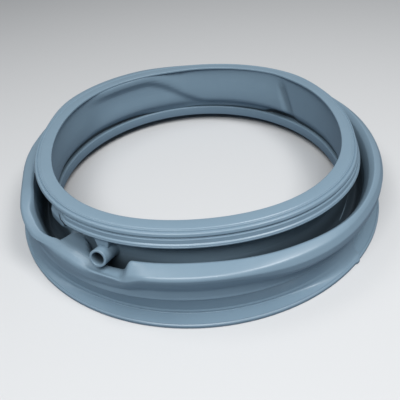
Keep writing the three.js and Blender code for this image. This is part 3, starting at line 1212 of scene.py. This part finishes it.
class Sketch:
    """A node tree being drawn."""

    def __init__(self, tree: bpy.types.NodeTree) -> None:
        """Empties the tree."""
        self.tree = tree
        tree.nodes.clear()

    def node(
        self,
        kind: str,
        settings: Mapping[str, object] | None = None,
        inputs: Mapping[str | int, object] | None = None,
    ) -> bpy.types.Node:
        """Adds a node.

        Args:
            kind: The node's type.
            settings: Properties, set before the inputs.
            inputs: Values, wires or sockets for its inputs.

        Returns:
            The node.
        """
        made = self.tree.nodes.new(kind)
        for name, value in (settings or {}).items():
            setattr(made, name, value)
        for name, value in (inputs or {}).items():
            if isinstance(value, Wire):
                self.tree.links.new(value.socket, made.inputs[name])
            elif isinstance(value, bpy.types.NodeSocket):
                self.tree.links.new(value, made.inputs[name])
            else:
                made.inputs[name].default_value = value
        return made

    def wire(self, node: bpy.types.Node, output: str | int = 0) -> Wire:
        """An output of a node as a value to reckon with."""
        return Wire(self.tree, node.outputs[output])

    def vector_maths(self, operation: VectorMaths, *values: object) -> bpy.types.Node:
        """Adds a Vector Math node, with its inputs in order."""
        return self.node("ShaderNodeVectorMath", {"operation": operation.value}, dict(enumerate(values)))

    def blend(self, first: object, second: object, share: Wire) -> bpy.types.NodeSocket:
        """Mixes two colours.

        Args:
            first: The colour at share 0.
            second: The colour at share 1.
            share: How much of the second there is.

        Returns:
            The mixed colour.
        """
        node = self.node("ShaderNodeMix", {"data_type": "RGBA"}, {0: share, 6: first, 7: second})
        return node.outputs[2]


@dataclass(frozen=True)
class Layer:
    """One layer of noise in the rubber.

    Attributes:
        scale: How fine it is.
        detail: How many finer layers it has.
        strength: How strong those are.
        drawn: Whether it is drawn out round the seal, as flow marks are.
        tone: Its share in the paler and darker patches.
        relief: Its share in the relief.
        matt: How much it changes the roughness.
        middle: The value that its noise lies round.
    """

    scale: float
    detail: float
    strength: float = 0.5
    drawn: bool = False
    tone: float = 0.0
    relief: float = 0.0
    matt: float = 0.0
    middle: float = 0.5

    def draw(self, sketch: Sketch, place: bpy.types.NodeSocket) -> Wire:
        """Adds its noise at a place."""
        inputs = {"Vector": place, "Scale": self.scale, "Detail": self.detail, "Roughness": self.strength}
        return sketch.wire(sketch.node("ShaderNodeTexNoise", inputs=inputs))


@dataclass(frozen=True)
class Window:
    """A range of a value in which something shows.

    Attributes:
        rise: Where it comes in.
        fall: Where it goes out again.
    """

    rise: Span
    fall: Span

    def share(self, value: Wire) -> Wire:
        """How much of it shows, from 0 to 1."""
        return value.between(*self.rise) * (1 - value.between(*self.fall))


NECK_OUTSIDE = Window((0.150, 0.152), (0.160, 0.162))
NECK_INSIDE = Window((0.0, 0.1), (0.1495, 0.151))


@dataclass(frozen=True)
class Mark:
    """A thin line on the neck, where one coordinate follows another.

    Attributes:
        start: The line's own coordinate where the other one is 0.
        slope: How much it changes with the other one.
        half: Half the line's width.
        strength: How much of its colour shows; that colour is painted shade for some marks and a painted
            highlight for others.
        radius: Distances from the axis at which it shows, in metres.
        length: Where the other coordinate lets it show.
        bow: How far it bows back.
        bow_start: The other coordinate at which the bow starts.
        bow_length: How far on it has bowed by that much.
        core: Share of its width that has the full colour.
    """

    start: float
    slope: float
    half: float
    strength: float
    radius: Window
    length: Window
    bow: float = 0.0
    bow_start: float = 49.0
    bow_length: float = 9.0
    core: float = 0.35

    def share(self, across: Wire, along: Wire, radius: Wire) -> Wire:
        """How much of the line's colour shows.

        Args:
            across: The line's own coordinate.
            along: The coordinate that it follows.
            radius: Distance from the axis.

        Returns:
            The share, 0 beyond the line.
        """
        bend = (along - self.bow_start) / self.bow_length
        aside = across - self.slope * along - self.start + self.bow * bend * bend
        line = 1 - aside.magnitude().between(self.core * self.half, self.half)
        return self.strength * line * self.radius.share(radius) * self.length.share(along)


@dataclass(frozen=True)
class Rubber:
    """Satin moulded rubber.

    Attributes:
        spigot: The spigot, whose bore gets painted shade.
        colour: Its plain colour.
        pale: The colour of its paler patches, and of the painted highlight on the mould's parting line.
        deep: The colour of its darker patches.
        shade: The colour of painted shade, laid into its deep recesses, the inside crease, the left pocket's
            narrow gap and the spigot's bore.
        roughness: How matt it is.
        coat: Weight of its thin gloss.
        coat_roughness: How matt that gloss is.
        relief: Height of its fine relief in metres.
        bump: Strength of that relief.
        flow: Metres of drawn-out noise for each radian round the seal.
        mottle: Least share of the patches in the colour, and how much more the grain gives.
        grain: Its finest noise.
        layers: Its other noise.
        recess_shade_radius: Distances from the axis at which the recess gets painted shade, in metres.
        recess_shade_height: Heights at which it gets painted shade, in metres.
        recess_shade_strength: How dark that painted shade is.
        bore_shade_strength: How dark the painted shade in the bore is.
        bore_edge: How far outside the bore its painted shade ends, from and to, in metres.
        bore_depth: Depth over which the bore's painted shade comes in, in metres.
        seam_highlight: The mould's parting line on the neck's outside, drawn only as a painted highlight in pale
            colour, as height over azimuth.
        crease: The soft shadow of the inside crease, as azimuth over height.
        slit_shade: Painted shade in the dark narrow gap in the left pocket, as azimuth over height.
    """

    spigot: Spigot
    colour: Colour = (0.205, 0.300, 0.380, 1)
    pale: Colour = (0.235, 0.335, 0.415, 1)
    deep: Colour = (0.176, 0.262, 0.340, 1)
    shade: Colour = (0.012, 0.019, 0.026, 1)
    roughness: float = 0.36
    coat: float = 0.25
    coat_roughness: float = 0.2
    relief: float = 0.00003
    bump: float = 0.55
    flow: float = 0.012
    mottle: Span = (0.5, 0.5)
    grain: Layer = Layer(1500, 3, 0.6, relief=0.6, matt=0.05)
    layers: tuple[Layer, ...] = (
        Layer(16, 3, tone=0.5),
        Layer(70, 4, 0.6, tone=0.3, matt=0.10),
        Layer(420, 2, relief=0.9),
        Layer(260, 3, 0.55, drawn=True, tone=0.2, relief=1.2, matt=0.08),
        Layer(50, 2, drawn=True, relief=8.0),
    )
    recess_shade_radius: Window = Window((0.149, 0.1515), (0.163, 0.172))
    recess_shade_height: Window = Window((0.0195, 0.0205), (0.028, 0.054))
    recess_shade_strength: float = 0.92
    bore_shade_strength: float = 0.9
    bore_edge: Span = (0.0001, 0.0004)
    bore_depth: float = 0.009
    seam_highlight: Mark = Mark(1.67, 0.29, 0.45, 0.6, NECK_OUTSIDE, Window((74, 76), (86, 89)))
    crease: Mark = Mark(144.0, 0.2, 2.4, 0.34, NECK_INSIDE, Window((26, 36), (58, 70)))
    slit_shade: Mark = Mark(-26.2, 0.0, 0.62, 0.95, NECK_OUTSIDE, Window((48.6, 49.6), (57, 58.4)), bow=3.4)

    def within_bore(self, sketch: Sketch, place: bpy.types.NodeSocket) -> Wire:
        """How deep a point lies in the spigot's bore.

        Args:
            sketch: The node tree.
            place: The point.

        Returns:
            1 deep in the bore, where its painted shade is full, and 0 at its mouth and outside it.
        """
        spigot = self.spigot
        root, axis = tuple(v * MM for v in spigot.root), tuple(spigot.axis())
        offset = sketch.vector_maths(VectorMaths.SUBTRACT, place, root).outputs[0]
        along = sketch.wire(sketch.vector_maths(VectorMaths.DOT_PRODUCT, offset, axis), "Value")
        length = sketch.wire(sketch.vector_maths(VectorMaths.LENGTH, offset), "Value")
        away = (length * length - along * along).power(0.5)
        bore, end = spigot.bore * MM, spigot.length * MM
        outside = away.between(*(bore + edge for edge in self.bore_edge))
        return (1 - outside) * (1 - along.between(end - self.bore_depth, end))

    def make(self) -> bpy.types.Material:
        """Draws the material.

        Returns:
            The material.
        """
        material = bpy.data.materials.new("moulded_rubber")
        material.use_nodes = True
        sketch = Sketch(material.node_tree)
        place = sketch.node("ShaderNodeTexCoord").outputs["Object"]
        parts = sketch.node("ShaderNodeSeparateXYZ", inputs={0: place})
        x, y, z = (sketch.wire(parts, i) for i in range(3))
        radius = (x * x + y * y).power(0.5)
        turn = x.reckon(Maths.ARCTAN2, y, x)
        drawn_out = sketch.node("ShaderNodeCombineXYZ", inputs={0: radius, 1: turn * self.flow, 2: z}).outputs[0]
        layers = (self.grain, *self.layers)
        noise = [(layer, layer.draw(sketch, drawn_out if layer.drawn else place)) for layer in layers]
        patches = sum(layer.tone * value for layer, value in noise if layer.tone)
        height = sum(layer.relief * value for layer, value in noise if layer.relief)
        changes = [layer.matt * (value - layer.middle) for layer, value in noise if layer.matt]
        matt = self.roughness + sum(changes)
        grain = noise[0][1]
        least, more = self.mottle
        colour = sketch.blend(self.colour, sketch.blend(self.deep, self.pale, patches), least + more * grain)
        # Where the recess between the neck and the fold gets painted shade.
        recess = self.recess_shade_radius.share(radius) * self.recess_shade_height.share(z)
        azimuth, up = x.reckon(Maths.ARCTAN2, x, 0 - y) * math.degrees(1), z / MM
        # Painted shade and a painted highlight, laid into the base colour over the rubber's own patches.
        for over, share in (
            # painted shade in the recess
            (self.shade, self.recess_shade_strength * recess),
            # painted highlight along the mould's parting line on the neck
            (self.pale, self.seam_highlight.share(up, azimuth, radius)),
            # painted shadow of the inside crease
            (self.shade, self.crease.share(azimuth, up, radius)),
            # painted shade in the left pocket's narrow gap
            (self.shade, self.slit_shade.share(azimuth, up, radius)),
            # painted shade inside the spigot's bore
            (self.shade, self.bore_shade_strength * self.within_bore(sketch, place)),
        ):
            colour = sketch.blend(colour, over, share)
        inputs = {"Height": height, "Distance": self.relief, "Strength": self.bump}
        bump = sketch.node("ShaderNodeBump", inputs=inputs)
        shader = sketch.node(
            "ShaderNodeBsdfPrincipled",
            inputs={
                "Base Color": colour,
                "Roughness": matt,
                "Specular IOR Level": 0.5,
                "Coat Weight": self.coat,
                "Coat Roughness": self.coat_roughness,
                "Normal": bump.outputs[0],
            },
        )
        sketch.node("ShaderNodeOutputMaterial", inputs={"Surface": shader.outputs[0]})
        return material


@dataclass(frozen=True)
class PaleFloor:
    """The plain pale surface that the seal lies on.

    Attributes:
        colour: How the camera sees it.
        bounce: How the seal sees it, darker so that little light comes back up under the fold.
        half: Half its width in metres.
    """

    colour: Colour = (0.66, 0.67, 0.68, 1)
    bounce: Colour = (0.16, 0.20, 0.25, 1)
    half: float = 6.0

    def build(self) -> bpy.types.Object:
        """Makes the floor.

        Returns:
            The floor.
        """
        corners = [(x, y, 0) for x, y in ((-1, -1), (1, -1), (1, 1), (-1, 1))]
        floor = mesh_object("floor", np.array(corners, float) * self.half / MM, [(0, 1, 2, 3)])
        material = bpy.data.materials.new("floor_paint")
        material.use_nodes = True
        sketch = Sketch(material.node_tree)
        seen = sketch.node("ShaderNodeBsdfDiffuse", inputs={"Color": self.colour})
        bounced = sketch.node("ShaderNodeBsdfDiffuse", inputs={"Color": self.bounce})
        camera = sketch.wire(sketch.node("ShaderNodeLightPath"), "Is Camera Ray")
        shaders = {0: camera, 1: bounced.outputs[0], 2: seen.outputs[0]}
        both = sketch.node("ShaderNodeMixShader", inputs=shaders)
        sketch.node("ShaderNodeOutputMaterial", inputs={"Surface": both.outputs[0]})
        floor.data.materials.append(material)
        return floor


@dataclass(frozen=True)
class SoftLamp:
    """A large soft lamp that looks at the seal.

    Attributes:
        name: Name of the lamp.
        place: Where it stands, in metres.
        size: Its width and height in metres.
        power: Its power in watts.
        colour: Colour of its light.
        target: The point that it looks at, in metres.
    """

    name: str
    place: tuple[float, float, float]
    size: tuple[float, float]
    power: float
    colour: tuple[float, float, float]
    target: tuple[float, float, float] = (0.0, 0.0, 0.04)

    def build(self) -> bpy.types.Object:
        """Makes the lamp.

        Returns:
            The lamp.
        """
        light = bpy.data.lights.new(self.name, "AREA")
        light.shape = "RECTANGLE"
        light.size, light.size_y = self.size
        light.energy = self.power
        light.color = self.colour
        lamp = bpy.data.objects.new(self.name, light)
        lamp.location = self.place
        lamp.rotation_mode = "QUATERNION"
        lamp.rotation_quaternion = (Vector(self.target) - Vector(self.place)).to_track_quat("-Z", "Y")
        bpy.context.scene.collection.objects.link(lamp)
        return lamp


@dataclass(frozen=True)
class Studio:
    """The light round the seal and the camera.

    Attributes:
        lamps: The soft lamps.
        ambient: Colour of the air's light.
        ambient_strength: Its strength.
        azimuth: Where the camera stands, in degrees from -Y.
        elevation: Degrees that it looks down.
        roll: Degrees that it leans.
        distance: Its distance from the origin in metres.
        focal_pixels: Its focal length in pixels of the photo.
        image_pixels: Width of the photo.
        aim_pixels: Where the origin lies in the photo.
        sensor: Width of its sensor in millimetres.
    """

    lamps: tuple[SoftLamp, ...] = (
        SoftLamp("lamp_front", (0.10, -0.78, 1.10), (0.8, 0.5), 11.0, (0.98, 0.99, 1.0)),
        SoftLamp("lamp_right", (0.60, -0.12, 1.20), (0.5, 0.5), 8.5, (1.0, 0.99, 0.98)),
        SoftLamp("lamp_left", (-0.55, -0.10, 1.20), (0.5, 0.5), 2.2, (1.0, 0.99, 0.98)),
    )
    ambient: Colour = (0.90, 0.95, 1.0, 1)
    ambient_strength: float = 0.16
    azimuth: float = 22.5
    elevation: float = 37.0
    roll: float = -4.7
    distance: float = 0.55
    focal_pixels: float = 505.0
    image_pixels: float = 400.0
    aim_pixels: Span = (199.7, 188.2)
    sensor: float = 36.0

    def light(self) -> None:
        """Sets up the lamps and the world."""
        for lamp in self.lamps:
            lamp.build()
        world = bpy.data.worlds.new("studio_air")
        bpy.context.scene.world = world
        world.use_nodes = True
        sketch = Sketch(world.node_tree)
        path = sketch.node("ShaderNodeLightPath")
        seen = sketch.wire(path, "Is Camera Ray") + sketch.wire(path, "Is Transmission Ray")
        light = {"Color": self.ambient, "Strength": self.ambient_strength}
        air = sketch.node("ShaderNodeBackground", inputs=light)
        white = sketch.node("ShaderNodeBackground", inputs={"Color": (1, 1, 1, 1), "Strength": 1.0})
        both = sketch.node("ShaderNodeMixShader", inputs={0: seen, 1: air.outputs[0], 2: white.outputs[0]})
        sketch.node("ShaderNodeOutputWorld", inputs={"Surface": both.outputs[0]})

    def camera(self) -> bpy.types.Object:
        """Makes the camera.

        Returns:
            The camera, set as the scene's.
        """
        turn, rise, roll = (math.radians(a) for a in (self.azimuth, self.elevation, self.roll))
        back = Vector((math.sin(turn) * math.cos(rise), -math.cos(turn) * math.cos(rise), math.sin(rise)))
        right = Vector((math.cos(turn), math.sin(turn), 0))
        up = back.cross(right)
        tilted = right * math.cos(roll) + up * math.sin(roll)
        frame_up = back.cross(tilted)
        data = bpy.data.cameras.new("camera")
        data.sensor_width = self.sensor
        data.lens = self.sensor * self.focal_pixels / self.image_pixels
        across, down = (aim / self.image_pixels - 0.5 for aim in self.aim_pixels)
        data.shift_x, data.shift_y = -across, down
        data.clip_start, data.clip_end = 0.01, 100.0
        made = bpy.data.objects.new("camera", data)
        turned = Matrix((tilted, frame_up, back)).transposed().to_4x4()
        made.matrix_world = Matrix.Translation(back * self.distance) @ turned
        bpy.context.scene.collection.objects.link(made)
        bpy.context.scene.camera = made
        return made


def main() -> None:
    """Builds the seal, its finish and the studio."""
    logging.basicConfig(level=logging.INFO, format="%(name)s: %(message)s")
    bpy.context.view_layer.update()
    body = SealBody()
    spigot = Spigot(body.neck)
    rubber = Rubber(spigot).make()
    seal = body.build()
    spigot.cut_bore(seal)
    LOG.info("bore cut through the neck")
    pieces = [seal, spigot.build(), Gusset().build()]
    for piece in pieces:
        piece.data.materials.clear()
        piece.data.materials.append(rubber)
        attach(piece, "root")
        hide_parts("door_seal")
        LOG.info("%s has %d faces", piece.name, len(piece.data.polygons))
    scene = bpy.context.scene
    scene.view_settings.view_transform = "Standard"
    studio = Studio()
    studio.light()
    studio.camera()
    PaleFloor().build()


if __name__ == "__main__":
    main()
